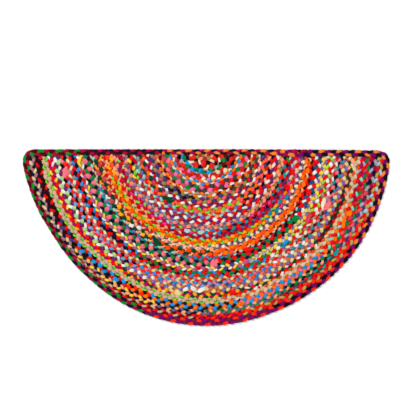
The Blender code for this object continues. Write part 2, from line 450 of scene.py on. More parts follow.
def pressed(run, tucked):
    """How much of its height a plait keeps: its tucked ends are pressed flat below the binding."""
    if not tucked:
        return np.ones_like(run)
    from_end = np.minimum(run, run[-1] - run)
    t = np.clip(from_end / PRESSED_END, 0.0, 1.0)
    return END_HEIGHT + (1.0 - END_HEIGHT) * t * t * (3.0 - 2.0 * t)


def dwell(wave):
    """The same wave between -1 and 1, but it stays longer near both."""
    return wave * (1.5 - 0.5 * wave * wave)


def folded_section():
    """A folded strip cut across, from its lower raw edge round to the upper one."""
    last_fold = FIRST_FOLD + 360.0 + SEAM_OVERLAP
    turns = np.radians(np.linspace(FIRST_FOLD, last_fold, FACES_ACROSS + 1))
    radius = np.ones(FACES_ACROSS + 1)
    radius[0] = TUCKED_EDGE
    across = np.sign(np.cos(turns)) * np.abs(np.cos(turns)) ** SIDE_POWER * radius
    above = np.sign(np.sin(turns)) * np.abs(np.sin(turns)) ** TOP_POWER * radius
    return across, above


def leaning(middle, lean):
    """Directions to a strip's side and up from it, at each step, when it leans by some angle."""
    ahead = np.gradient(middle, axis=0)
    ahead /= np.linalg.norm(ahead, axis=1)[:, None]
    up = np.array((0.0, 0.0, 1.0)) - ahead * ahead[:, 2:]
    up /= np.linalg.norm(up, axis=1)[:, None]
    side = np.cross(ahead, up)
    lean = lean[:, None]
    return side * np.cos(lean) - up * np.sin(lean), up * np.cos(lean) + side * np.sin(lean)


def strip_rings(path, run, swing_phase, broad, lift, height, turn, rng):
    """Points of one folded strip in the plait: one ring of points for each step."""
    phase = swing_phase + waver(rng, run, STRIP_PACE)
    over = -np.sin(2.0 * phase + EARLY)
    over += (np.sign(lift) - over) * np.abs(lift)
    plump = 1.0 + PLUMPNESS * over
    strip = path.width * STRIP_SHARE * plump * broad * (1.0 + waver(rng, run, STRIP_WIDTH))
    thick = height * THICK_SHARE * plump * broad ** BROAD_POWER
    thick = thick * (1.0 + waver(rng, run, STRIP_THICKNESS))
    over = dwell(over)
    swing = np.sin(phase) * (1.0 + turn * np.cos(phase) ** 2)
    sideways = (path.width - strip) / 2.0 * swing + waver(rng, run, SIDE_STEP)
    level = height / 2.0 + (height - thick) / 2.0 * over
    middle = np.column_stack((path.place + path.out * sideways[:, None], level))
    lean = LEAN * np.sin(phase) * np.clip(over * LEAN_RISE, -1.0, 1.0) + waver(rng, run, TWIST)
    side, up = leaning(middle, lean)
    across, above = folded_section()
    rings = middle[:, None] + side[:, None] * (across * strip[:, None] / 2.0)[:, :, None]
    return rings + up[:, None] * (above * thick[:, None] / 2.0)[:, :, None]


print("a strip has", FACES_ACROSS + 1, "points across and", STEPS_PER_SWING, "steps a swing")

# %% [markdown]
# ## The rhythm of a plait
#
# Whoever plaits doesn't keep quite the same rhythm all along. Counting every lobe would be long
# work, so each plait has a few beats. A beat is a pair: a place at which the first strip has come
# to the inner edge, and the number of swings so far. Between two beats the swings are even.

# %% Beats, and even steps along a path
INNER_EDGE = 0.875      # share of a swing at which a strip lies on top at the inner edge


def swings_at(beats, marks):
    """Swings of the first strip at some marks, even between the beats and beyond them."""
    at, swings = np.array(beats, float).T
    i = np.clip(np.searchsorted(at, marks, side="right") - 1, 0, len(at) - 2)
    return swings[i] + (marks - at[i]) * (swings[i + 1] - swings[i]) / (at[i + 1] - at[i])


def run_along(places):
    """How far along a line of places each of them is."""
    steps = np.hypot(*np.diff(places, axis=0).T)
    return np.concatenate(((0.0,), np.cumsum(steps)))


def resample(path, count):
    """The same path with evenly spaced steps, and how far along it each one is."""
    run = run_along(path.place)
    even = np.linspace(0.0, run[-1], count + 1)
    columns = [np.column_stack([np.interp(even, run, c) for c in np.atleast_2d(part.T)])
               for part in path]
    place, out, width, mark = columns
    out /= np.linalg.norm(out, axis=1)[:, None]
    return Path(place, out, width[:, 0], mark[:, 0]), even


print("row 29 is", round(float(run_along(paths[29].place)[-1]), 3), "m long")

# %% [markdown]
# ## Flat strips of cloth
#
# The three strips of a plait are one piece, which starts as three flat grids. Each face keeps the
# colour of its cloth and how heathered it is, as attributes, so a single cotton material can dye
# them all. The flat grid's own coordinates become a map that follows the cloth, and a second map
# cuts the long strips into stretches and stacks them in a square, which is how a picture of the
# dyed cloth would be stored.

# %% Make, dye and map flat strips
HALF_GRID = 0.5         # a flat grid reaches this far to both sides of its middle
STRIP_CUT = 0.022       # width of a strip on the map that follows the cloth
STRETCHES = 5           # pieces into which the second map cuts each strip
SIDE_MARGIN = 0.04      # share that is left free along both sides of such a piece
END_MARGIN = 0.005      # share that is left free at both of its ends

Faces = namedtuple("Faces", "step across first strip")


def flat_strips(name, count):
    """Three flat grids in one mesh, and the step and the place across of each of their points."""
    bm = bmesh.new()
    for _ in range(STRIPS):
        bmesh.ops.create_grid(bm, x_segments=count, y_segments=FACES_ACROSS, size=HALF_GRID)
    mesh = bpy.data.meshes.new(name)
    bm.to_mesh(mesh)
    bm.free()
    flat = np.empty(len(mesh.vertices) * 3)
    mesh.vertices.foreach_get("co", flat)
    flat = flat.reshape(STRIPS, -1, 3)
    step = np.rint((flat[..., 0] + HALF_GRID) * count).astype(int)
    across = np.rint((flat[..., 1] + HALF_GRID) * FACES_ACROSS).astype(int)
    return mesh, step, across


def faces_of(mesh, step, across, count):
    """Step and place across of each face's corners, the face's first step, and its strip."""
    corners = np.empty(len(mesh.loops), int)
    mesh.loops.foreach_get("vertex_index", corners)
    step_at = step.ravel()[corners].reshape(-1, 4)
    across_at = across.ravel()[corners].reshape(-1, 4)
    strip = np.arange(len(step_at)) // (count * FACES_ACROSS)
    return Faces(step_at, across_at, step_at.min(axis=1), strip)


def cloths_along(chart, strip, marks):
    """Which cloth a strip is of, at each mark along the plait."""
    starts = [start for start, names in chart]
    which = np.clip(np.searchsorted(starts, marks, side="right") - 1, 0, len(chart) - 1)
    return [CLOTHS[chart[i][1].split()[strip]] for i in which]


def dye_cloth(mesh, chart, marks, faces):
    """Give each face the colour of its cloth and how heathered that is."""
    cloths = [cloths_along(chart, strip, marks) for strip in range(STRIPS)]
    colours = np.array([[daylight(cloth) for cloth in strip] for strip in cloths])
    heather = np.array([[cloth.heather for cloth in strip] for strip in cloths])
    dye = mesh.attributes.new("dye", "FLOAT_COLOR", "FACE")
    dye.data.foreach_set("color", colours[faces.strip, faces.first].ravel())
    fleck = mesh.attributes.new("heather", "FLOAT", "FACE")
    fleck.data.foreach_set("value", heather[faces.strip, faces.first])


def map_cloth(mesh, faces, count, length):
    """Lay out two maps: one in metres of cloth, and one that fills a square."""
    cloth = mesh.uv_layers.new(name="cloth")
    along = faces.step * (length / count)
    over = (faces.across / FACES_ACROSS + faces.strip[:, None]) * STRIP_CUT
    cloth.data.foreach_set("uv", np.stack((along, over), axis=-1).ravel())
    store = mesh.uv_layers.new(name="OFBake")
    per_stretch = -(-count // STRETCHES)
    stretch = faces.first // per_stretch
    shelf = faces.strip * STRETCHES + stretch
    u = (faces.step - (stretch * per_stretch)[:, None]) / per_stretch
    u = u * (1.0 - 2.0 * END_MARGIN) + END_MARGIN
    v = faces.across / FACES_ACROSS * (1.0 - 2.0 * SIDE_MARGIN) + SIDE_MARGIN
    v = (v + shelf[:, None]) / (STRIPS * STRETCHES)
    store.data.foreach_set("uv", np.stack((u, v), axis=-1).ravel())


print("the second map stacks", STRIPS * STRETCHES, "stretches of cloth for each plait")

# %% [markdown]
# ## A whole plait
#
# Each point of the flat strips now goes to its place in the plait. The strips needn't be equally
# broad, and one may be torn too broad in a single spot, where it rides up over the other two and
# they dive under it.

# %% Make a plait
FLOOR_CLEARANCE = 0.0002    # nothing lies lower than this
EVEN = (1.0, 1.0, 1.0)      # the three strips are equally broad
Broad = namedtuple("Broad", "mark strip extra reach")   # a strip that was torn too broad there


def torn(path, run, strip, share, broads):
    """How broad a strip is all along, and how far it rides up over the others or dives."""
    broad = np.full_like(run, share)
    lift = np.zeros_like(run)
    for spot in broads:
        near = hump(run - np.interp(spot.mark, path.mark, run), spot.reach)
        if spot.strip == strip:
            broad += spot.extra * near
            lift += BROAD_LIFT * near
        else:
            lift -= BROAD_LIFT * near
    return broad, lift


def plait(name, path, chart, beats, height, shares=EVEN, broads=(), seed=0, tucked=True,
          turn=QUICK_TURN):
    """Three strips plaited along a path, in the colours of a chart and the rhythm of some beats."""
    first_swing, last_swing = swings_at(beats, path.mark[[0, -1]])
    count = round((last_swing - first_swing) * STEPS_PER_SWING)
    path, run = resample(path, count)
    rng = np.random.default_rng(seed)
    common = waver(rng, run, PACE)
    height = height * pressed(run, tucked)
    mesh, step, across = flat_strips(name, count)
    places = np.empty((*step.shape, 3))
    for strip in range(STRIPS):
        phase = 2.0 * pi * (swings_at(beats, path.mark) + INNER_EDGE - strip / STRIPS) + common
        broad, lift = torn(path, run, strip, shares[strip], broads)
        rings = strip_rings(path, run, phase, broad, lift, height, turn, rng)
        rings[..., 2] = np.maximum(rings[..., 2], FLOOR_CLEARANCE)
        places[strip] = rings[step[strip], across[strip]]
    mesh.vertices.foreach_set("co", places.ravel())
    faces = faces_of(mesh, step, across, count)
    dye_cloth(mesh, chart, path.mark, faces)
    map_cloth(mesh, faces, count, run[-1])
    mesh.shade_smooth()
    piece = bpy.data.objects.new(name, mesh)
    bpy.context.scene.collection.objects.link(piece)
    return piece


print("a broad spot rides up by", BROAD_LIFT, "of the way over the other strips")

# %% [markdown]
# ## Cotton
#
# Torn cotton is matt, with soft creases along the strip where it is folded and a fine weave across
# it. Heathered cloths are flecked with lighter and darker threads and the dye has faded in places.
# Shade is painted into the creases and the hollows of the mat, and a highlight onto the folds. One
# material does for all strips: it reads the dye and the flecking from the faces, the creases from
# the map that follows the cloth, and the threads, the fading and the painted shade of the hollows
# from the place on the mat.
#
# A material is a tree of nodes. A few helpers make a node and wire it in one go.

# %% Helpers for nodes
COLOUR_INPUTS = (6, 7)      # the two inputs of a Mix node that take colours
COLOUR_OUTPUT = 2           # and its output that gives one
NOISE = (0.3, 0.7)          # noise lies between these nearly everywhere


def feed(tree, source, socket):
    """Link a socket into another one, or set that one to a number or a colour."""
    if isinstance(source, bpy.types.NodeSocket):
        tree.links.new(source, socket)
    else:
        socket.default_value = source


def add_node(tree, kind, **inputs):
    """A node with some of its inputs fed by name."""
    node = tree.nodes.new(kind)
    for key, source in inputs.items():
        feed(tree, source, node.inputs[key])
    return node


def noise(tree, vector, scale, detail, roughness):
    """The value of a noise texture that reads its place from a socket."""
    node = add_node(tree, "ShaderNodeTexNoise", Vector=vector, Scale=scale, Detail=detail,
                    Roughness=roughness)
    return node.outputs["Fac"]


def mix_colour(tree, blend, factor, first, second):
    """Mix two colours and return the result's socket."""
    mix = tree.nodes.new("ShaderNodeMix")
    mix.data_type = "RGBA"
    mix.blend_type = blend
    feed(tree, factor, mix.inputs["Factor"])
    for source, place in zip((first, second), COLOUR_INPUTS):
        feed(tree, source, mix.inputs[place])
    return mix.outputs[COLOUR_OUTPUT]


def spread(tree, value, seen, wanted, interpolation="LINEAR"):
    """Stretch a value from the range in which it is seen over the one that is wanted."""
    node = add_node(tree, "ShaderNodeMapRange", Value=value)
    node.interpolation_type = interpolation
    for key, limit in zip(("From Min", "From Max", "To Min", "To Max"), (*seen, *wanted)):
        node.inputs[key].default_value = limit
    return node.outputs["Result"]


print("noise is stretched from", NOISE)

# %% [markdown]
# The dye is changed in steps: by fading, by painted shade in the creases and a painted highlight on
# the folds, and by painted shade in the hollows. The threads come last, and show most on the most
# heathered cloths. The same creases and threads give the bumps, so painted shade and relief agree.

# %% The cotton material
CREASE_SCALE = (60.0, 420.0, 1.0)   # creases are long, so their noise is finer across the strip
THREAD_SCALE = 950.0
FADING_SCALE = 70.0
FADING = (0.86, 1.08)               # how much of the dye is left
CREASE_SHADE_AND_HIGHLIGHT = (0.80, 1.10)             # painted shade in a crease and painted highlight on a fold
HOLLOW_SHADE_HEIGHTS = (0.0030, 0.0060)      # heights between which the painted shade of the hollows fades out
HOLLOW_SHADE_RANGE = (0.20, 1.0)               # how much colour is left in the painted shade of the hollows, and above it
PALE_THREAD = (0.80, 0.78, 0.74, 1.0)
PALE_SHARE = 0.30                   # how far a pale thread goes over to that colour
DARK_THREAD = (0.45, 0.42, 0.42, 1.0)
DARK_SHARE = 0.75                   # how far a dark thread is darkened by that one
ROUGHNESS = (0.96, 0.82)            # in a crease and on a fold
CREASE_DEPTH = 0.0012
THREAD_DEPTH = 0.0002


def cotton():
    """The one material of all the strips."""
    material = bpy.data.materials.new("dyed_cotton_rag")
    material.use_nodes = True
    tree = material.node_tree
    shader = tree.nodes["Principled BSDF"]
    dye = tree.nodes.new("ShaderNodeAttribute")
    dye.attribute_name = "dye"
    heather = tree.nodes.new("ShaderNodeAttribute")
    heather.attribute_name = "heather"
    cloth_map = tree.nodes.new("ShaderNodeUVMap")
    cloth_map.uv_map = "cloth"
    place = tree.nodes.new("ShaderNodeTexCoord").outputs["Object"]
    along = add_node(tree, "ShaderNodeMapping", Vector=cloth_map.outputs["UV"], Scale=CREASE_SCALE)

    folds = noise(tree, along.outputs["Vector"], scale=1.0, detail=3.0, roughness=0.6)
    threads = noise(tree, place, THREAD_SCALE, detail=2.0, roughness=0.6)
    fading = noise(tree, place, FADING_SCALE, detail=2.0, roughness=0.5)
    height = add_node(tree, "ShaderNodeSeparateXYZ", Vector=place).outputs["Z"]

    faded = mix_colour(tree, "MULTIPLY", 1.0, dye.outputs["Color"],
                       spread(tree, fading, NOISE, FADING))
    # painted shade in the creases and a painted highlight on the folds, from the same noise as their
    # bumps
    crease_shaded = mix_colour(tree, "MULTIPLY", 1.0, faded, spread(tree, folds, NOISE, CREASE_SHADE_AND_HIGHLIGHT))
    # painted shade: the colour darkens to a fifth low in the hollows between the lobes, where shade
    # falls
    hollow_shaded = mix_colour(tree, "MULTIPLY", 1.0, crease_shaded,
                        spread(tree, height, HOLLOW_SHADE_HEIGHTS, HOLLOW_SHADE_RANGE, "SMOOTHSTEP"))
    pale = mix_colour(tree, "MIX", PALE_SHARE, hollow_shaded, PALE_THREAD)
    dark = mix_colour(tree, "MULTIPLY", DARK_SHARE, hollow_shaded, DARK_THREAD)
    flecks = mix_colour(tree, "MIX", spread(tree, threads, NOISE, (0.0, 1.0)), dark, pale)
    flecked = mix_colour(tree, "MIX", heather.outputs["Fac"], hollow_shaded, flecks)
    tree.links.new(flecked, shader.inputs["Base Color"])

    tree.links.new(spread(tree, folds, NOISE, ROUGHNESS), shader.inputs["Roughness"])
    shader.inputs["Sheen Weight"].default_value = 0.03
    tree.links.new(hollow_shaded, shader.inputs["Sheen Tint"])
    shader.inputs["Specular IOR Level"].default_value = 0.10

    creases = add_node(tree, "ShaderNodeBump", Strength=0.8, Distance=CREASE_DEPTH, Height=folds)
    weave = add_node(tree, "ShaderNodeBump", Strength=0.35, Distance=THREAD_DEPTH, Height=threads,
                     Normal=creases.outputs["Normal"])
    tree.links.new(weave.outputs["Normal"], shader.inputs["Normal"])
    return material


COTTON = cotton()
print("material:", COTTON.name)

# %% [markdown]
# ## The colours, row by row
#
# Each row of the chart says which three cloths a plait is made of, in the order in which their
# lobes follow one another round the mat, and from which angle on. A strip that runs out is joined
# to the next one, so all three cloths seldom change at once.

# %% The chart of the field
FIELD_CHART = {
    1: ((180, "olive salmon brick"),),
    2: ((180, "cream poppy black"),),
    3: ((180, "green sky peach"), (225, "green sky silver"), (268, "green sky peach"),
        (290, "green silver peach"), (315, "green maroon black")),
    4: ((180, "pink poppy black"), (200, "silver brick poppy"), (212, "pink poppy brick"),
        (264, "pink brick cream"), (280, "brick cream poppy"), (316, "black cream brick"),
        (325, "black brick poppy")),
    5: ((180, "sky orange cream"),),
    6: ((180, "candy rosered green"), (212, "pink rosered green"), (245, "pink charcoal green"),
        (264, "pink red charcoal"), (325, "pink red green")),
    7: ((180, "orange peach maroon"), (236, "orange cream taupe"), (285, "orange white maroon")),
    8: ((180, "olive indigo dustyrose"), (221, "olive indigo coral"), (226, "olive indigo umber"),
        (258, "olive indigo coral"), (272, "olive coral indigo"), (300, "olive coral charcoal"),
        (322, "olive red charcoal")),
    9: ((180, "white purple carmine"), (222, "white purple taupe"), (235, "white purple carmine"),
        (320, "white purple peach")),
    10: ((180, "bottle rosered orange"), (226, "bottle coral orange"), (243, "lime coral orange"),
         (307, "bottle coral orange"), (326, "indigo coral orange")),
    11: ((180, "seafoam carmine grey"), (193, "seafoam grey slate"),
         (200, "seafoam carmine violetblue"), (208, "seafoam red peach"),
         (222, "seafoam carmine violetblue"), (229, "seafoam red peach"),
         (233, "seafoam carmine violetblue"), (270, "seafoam red peach"),
         (289, "seafoam carmine violetblue"), (300, "peach red navy")),
    12: ((180, "yellow red navy"), (197, "yellow lime navy"), (201.5, "yellow carmine lime"),
         (204.5, "white brick grey"), (231, "white brick purple"), (262, "white red purple")),
    13: ((180, "salmon slate mauve"), (212, "salmon violetblue grey"),
         (250, "salmon slate mauve"), (268, "salmon taupe mauve"), (285, "salmon violetblue mauve"),
         (300, "salmon olive peach")),
    14: ((180, "lime magenta carmine"), (190.5, "mint magenta carmine"),
         (205, "lime hotpink carmine"), (211, "paleblue hotpink carmine"),
         (216, "lime hotpink carmine"), (232, "paleblue hotpink carmine"),
         (245.5, "paleblue teal red"), (251.5, "lime hotpink carmine"),
         (256, "paleblue hotpink carmine"), (260.5, "lime hotpink carmine"),
         (264, "paleblue lagoon red"), (284, "navy teal red"), (303.5, "navy hotpink carmine"),
         (325.5, "navy teal red"), (350, "navy leaf red")),
    15: ((180, "peach salmon purple"), (199, "salmon carmine peach"),
         (244, "purple carmine salmon"), (252, "purple carmine peach"),
         (258, "purple carmine seafoam"), (277.5, "purple carmine slate"),
         (340, "purple carmine seafoam")),
    16: ((180, "peach amber tangerine"), (197, "lime amber tangerine"), (311, "lime amber lagoon"),
         (322, "hotpink orange lagoon"), (331, "hotpink orange red"), (337, "hotpink sand red")),
    17: ((180, "peach carmine mustard"), (221, "peach carmine slate"), (238, "cream peach slate"),
         (277, "slate cream purple")),
    18: ((180, "rosered bottle amber"), (203, "rosered bottle white"), (212, "amber bottle peach"),
         (225, "white bottle peach"), (233, "amber bottle peach"), (238, "tangerine bottle peach"),
         (274, "orange tangerine peach"), (340, "orange tangerine sand")),
    19: ((180, "tan maroon seafoam"), (200, "teal violetblue seafoam"),
         (214, "teal maroon seafoam"), (224, "teal maroon violetblue"), (236, "teal maroon seafoam"),
         (257, "teal violetblue red"), (285, "seafoam red umber"), (329, "red umber red")),
    20: ((180, "candy navy green"), (277, "red navy green"), (324, "red white petrol")),
    21: ((180, "yellow white yellow"), (188, "dustyrose white red"),
         (197, "dustyrose white yellow"), (265, "dustyrose white red"), (272, "silver white yellow"),
         (276, "indigo white yellow"), (284, "dustyrose white yellow"), (292, "silver sand yellow"),
         (303, "yellow violetblue sand")),
    22: ((180, "red navy sky"), (217, "red navy navy"), (229, "red navy sky"), (237, "red green navy"),
         (261, "red green sky"), (278, "red green navy"), (285, "red green sky"),
         (300, "red white chartreuse"), (308, "sky white green"), (313, "red white chartreuse"),
         (323.5, "red rosered chartreuse"), (329, "red white chartreuse"),
         (338, "red taupe chartreuse"), (345, "red white chartreuse")),
    23: ((180, "red taupe cream"), (235, "red taupe straw"), (300, "red taupe cream"),
         (338, "red taupe white")),
    24: ((180, "candy black scarlet"), (192, "cornflower black scarlet"),
         (214, "cornflower candy scarlet"), (228, "cornflower black scarlet"),
         (240, "sky candy scarlet"), (250, "sky candy sand"), (268, "cornflower candy petrol"),
         (280, "sky candy tangerine"), (301, "white candy tangerine"), (307, "white candy teal"),
         (318, "maroon candy teal"), (332, "candy candy petrol"), (340, "candy teal navy")),
    25: ((180, "purple mint white"), (237, "violetblue white cinnamon"),
         (248.5, "violetblue straw cinnamon"), (261, "violetblue white cinnamon"),
         (270, "cinnamon straw cinnamon"), (276, "violetblue straw cinnamon")),
    26: ((180, "magenta white red"), (187, "magenta yellow red"), (205, "magenta amber red"),
         (234, "bottle amber red"), (239, "bottle amber magenta"), (250, "straw magenta amber"),
         (261.5, "bottle magenta amber"), (277, "bottle red amber"), (285, "bottle white red"),
         (292, "bottle amber cream"), (297, "bottle white red"), (313, "bottle white coral"),
         (321, "bottle red maroon"), (338, "bottle coral maroon"), (343, "bottle maroon peach"),
         (353, "bottle cream peach")),
    27: ((180, "lime tan tan"), (277, "tangerine sand tan")),
    28: ((180, "umber red umber"), (205, "umber red indigo"), (215, "black red sky"),
         (240, "orange umber scarlet"), (250, "sky umber orange"), (283, "orange pink sky"),
         (318, "orange seafoam red"), (340, "crimson seafoam red"), (350, "red silver magenta")),
    29: ((180, "sand mauve navy"), (216, "yellow mauve navy"), (232, "peach yellow navy"),
         (252, "peach slate navy"), (270, "green peach slate"), (300, "green peach navy"),
         (322, "green coral red"), (330, "green rosered red")),
}
assert set(FIELD_CHART) == set(paths)
print("stretches of colour in the field:", sum(len(chart) for chart in FIELD_CHART.values()))

# %% [markdown]
# ## The rhythm, row by row
#
# The beats of each row: angles at which the first cloth of its chart lies at the row's inner edge,
# and the swings so far. A third of a swing more stands for the second cloth there, and two thirds
# for the third. A swing is about 36 mm long in most rows, and half as long in the first one, which
# bends sharply.

# %% The beats of the field
FIELD_BEATS = {
    1: ((263.5, 0), (330.5, 1)),
    2: ((201.7, 0), (250.0, 1), (305.0, 2), (345.0, 3)),
    3: ((205.0, 0), (332.3, 3)),
    4: ((207.2, 0), (321.0, 4)),
    5: ((207.5, 0), (329.2, 5)),
    6: ((197.9, 0), (243.3, 2), (336.9, 6)),
    7: ((197.4, 0), (338.8, 8)),
    8: ((212.0, 0), (345.6, 8)),
    9: ((199.4, 0), (255.1, 4), (337.9, 9)),
    10: ((194.4, 0), (338.0, 10)),
    11: ((192.6, 0), (242.7, 4), (290.7, 8), (327.6, 11)),
    12: ((207.2, 0), (266.4, 5), (304.5, 8), (347.5, 11)),
    13: ((189.6, 0), (264.0, 7), (302.7, 11), (347.2, 15)),
    14: ((193.0, 0), (244.0, 5), (272.5, 8), (312.3, 12), (344.0, 15)),
    15: ((191.0, 0.33), (264.2, 7.67), (313.0, 13.67), (344.4, 16.67)),
    16: ((201.4, 0), (246.0, 5), (285.0, 10), (318.5, 14), (338.6, 16)),
    17: ((242.4, 0), (277.6, 5.33), (320.5, 11.33)),
    18: ((191.0, 0.33), (225.1, 4.33), (269.2, 10), (293.8, 13), (352.9, 20)),
    19: ((194.8, 0), (216.6, 3), (256.0, 8), (283.2, 12), (324.0, 18)),
    20: ((189.6, 0), (248.9, 8), (293.0, 14), (314.4, 17), (345.8, 21)),
    21: ((193.5, 0), (277.1, 11), (344.5, 21.33)),
    22: ((191.7, 0), (211.4, 3), (233.0, 6), (263.3, 11), (297.3, 16), (354.6, 24)),
    23: ((190.4, 0), (234.9, 7), (293.0, 17), (346.2, 25)),
    24: ((206.1, 0), (278.7, 12), (313.8, 18), (343.9, 23)),
    25: ((195.9, 0), (240.4, 7), (355.4, 27)),
    26: ((201.5, 0), (236.6, 6), (246.0, 8), (279.1, 14), (297.5, 17), (354.9, 27)),
    27: ((189.2, 0), (243.5, 10), (250.7, 11), (272.2, 15), (350.9, 29)),
    28: ((186.6, 0), (235.4, 9), (286.8, 19), (312.1, 24), (345.0, 30)),
    29: ((234.3, 0), (302.1, 13), (327.0, 18), (350.8, 22)),
}
assert set(FIELD_BEATS) == set(paths)
for row in (1, 29):
    ends = swings_at(FIELD_BEATS[row], paths[row].mark[[0, -1]])
    print("row", row, "makes", round(float(ends[1] - ends[0]), 1), "swings")

# %% [markdown]
# ## How the strips were torn
#
# Torn strips differ. Some are broader all along than the others of their row, and some are much
# too broad in one spot, where their cloth shows as one large lobe. In a few rows the strips dwell
# at the edges instead of crossing quickly, so that their lobes run together into a ribbon.

# %% Broad spots, broad strips and ribbons
FIELD_BROADS = {
    10: (Broad(235.6, 0, 1.30, 0.018),),
    14: (Broad(258.2, 0, 0.80, 0.013), Broad(267.8, 0, 0.80, 0.014)),
    18: (Broad(242.9, 1, 0.45, 0.014),),
    19: (Broad(293.8, 1, 0.60, 0.018),),
    20: (Broad(274.8, 0, 0.80, 0.016), Broad(322.7, 2, 1.20, 0.016),
         Broad(337.2, 0, 0.20, 0.012)),
    21: (Broad(185.2, 2, 0.75, 0.009), Broad(290.5, 0, 0.70, 0.020)),
    22: (Broad(310.4, 0, 0.45, 0.010), Broad(326.6, 1, 0.70, 0.015)),
    23: (Broad(336.0, 2, 0.80, 0.018),),
    24: (Broad(189.6, 0, 1.30, 0.011), Broad(335.8, 1, 1.40, 0.015)),
    25: (Broad(262.6, 1, 0.20, 0.009), Broad(266.0, 1, 0.20, 0.009),
         Broad(269.4, 1, 0.35, 0.010)),
    26: (Broad(259.6, 0, 1.00, 0.017), Broad(281.0, 1, 0.90, 0.018)),
    28: (Broad(227.8, 2, 0.35, 0.010), Broad(235.6, 2, 0.45, 0.010),
         Broad(332.6, 0, 0.45, 0.009), Broad(336.0, 0, 1.10, 0.010)),
}

# How broad a row's three strips are torn, where they aren't equally broad
FIELD_SHARES = {
    1: (0.90, 0.80, 1.10),
    2: (0.58, 1.50, 0.80),
    3: (1.35, 1.45, 0.50),
    4: (0.85, 1.10, 1.10),
    10: (0.90, 1.15, 0.95),
    12: (0.95, 1.15, 0.90),
    13: (1.30, 0.80, 0.85),
    14: (0.80, 0.90, 1.40),
    15: (0.80, 1.40, 0.85),
    16: (0.68, 1.02, 1.28),
    17: (0.85, 1.50, 0.70),
    18: (1.18, 1.20, 0.64),
    20: (1.25, 0.85, 0.90),
    21: (1.30, 0.85, 0.85),
    22: (1.10, 1.12, 0.78),
    23: (1.05, 0.90, 1.05),
    24: (1.10, 0.95, 0.95),
    25: (0.90, 1.15, 0.95),
    26: (1.14, 0.82, 1.12),
    27: (0.72, 1.32, 1.28),
    28: (1.08, 0.85, 1.08),
}

RIBBON_ROWS = (3, 5, 7, 16, 18, 27)
print("broad spots in the field:", sum(len(spots) for spots in FIELD_BROADS.values()))

# %% [markdown]
# ## Plait the field
#
# Now each row of the field is plaited along its path. A row rides on the mat's one body, stands
# for the solid field, and is made of three long strips of thin cloth, folded.

# %% The rows of the field
pieces = []


def flat_size(piece):
    """Width of a plait's strips before folding, and the length of all three laid end to end."""
    places = np.empty(len(piece.data.vertices) * 3)
    piece.data.vertices.foreach_get("co", places)
    places = places.reshape(STRIPS, FACES_ACROSS + 1, -1, 3)
    length = np.linalg.norm(np.diff(places, axis=2), axis=3).sum() / (FACES_ACROSS + 1)
    width = np.linalg.norm(np.diff(places, axis=1), axis=3).sum() / STRIPS / places.shape[2]
    return width, length


def sew_on(piece, node):
    """Fix a plait to the mat in place of a solid, and give it the cotton material."""
    piece.data.materials.append(COTTON)
    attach(piece, "root")
    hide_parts(node)
    flat_size(piece)
    pieces.append(piece)


def triangles():
    """How many triangles the plaits have so far: two for each face."""
    return 2 * sum(len(piece.data.polygons) for piece in pieces)


for row, path in paths.items():
    rag = plait(f"field_row_{row:02d}", path, FIELD_CHART[row], FIELD_BEATS[row], ROW_HEIGHT,
                shares=FIELD_SHARES.get(row, EVEN), broads=FIELD_BROADS.get(row, ()), seed=row,
                turn=SLOW_TURN if row in RIBBON_ROWS else QUICK_TURN)
    sew_on(rag, "braid_field")
print("field:", triangles(), "triangles")

# %% [markdown]
# ## The two added rows
#
# Two lengths of plait were added to round the mat out. The outer one starts part-way down the
# left side, the inner one low on the right, and both run up to the right end of the straight edge.

# %% The added rows
OUTER_ROW_START = 214.0
INNER_ROW_START = 296.5
OUTER_ROW_CHART = (
    (180, "rust crimson tan"), (236, "maroon red tan"), (267, "scarlet crimson red"),
    (283, "mustard red scarlet"), (338, "mustard red paleblue"),
)
OUTER_ROW_BEATS = ((231.9, 0), (286.9, 10), (314.3, 15), (352.0, 22))
INNER_ROW_CHART = (
    (180, "slate red charcoal"), (309, "teal red charcoal"), (323, "indigo red silver"),
    (329, "indigo coral silver"), (341, "plum rosered silver"), (346, "navy crimson silver"),
)
INNER_ROW_BEATS = ((300.0, 0), (322.0, 3.5), (352.0, 8.5))
outer_row = row_path(outer_row_inside, border_inside, start=OUTER_ROW_START)
inner_row = row_path(field_edge, outer_row_inside, start=INNER_ROW_START)
outer_rags = plait("added_row_outer_rags", outer_row, OUTER_ROW_CHART, OUTER_ROW_BEATS,
                   ROW_HEIGHT, seed=40)
sew_on(outer_rags, "added_row_outer")
inner_rags = plait("added_row_inner_rags", inner_row, INNER_ROW_CHART, INNER_ROW_BEATS,
                   ROW_HEIGHT, broads=(Broad(322.0, 0, 0.90, 0.015),), seed=41)
sew_on(inner_rags, "added_row_inner")
print("with the added rows:", triangles(), "triangles")

# %% [markdown]
# ## The binding
#
# The last plait goes once round the mat, from a join on the straight edge: to the left corner and
# round it, down the left side, along the arc, up the right side and round the right corner.

# %% The path of the binding
JOIN_X = 0.232          # where on the straight edge the binding's two ends meet
NEAR_EDGE = 0.02        # what lies this close to the straight edge can be the join
CORNER_PLACES = 25
EDGE_PLACES = 401


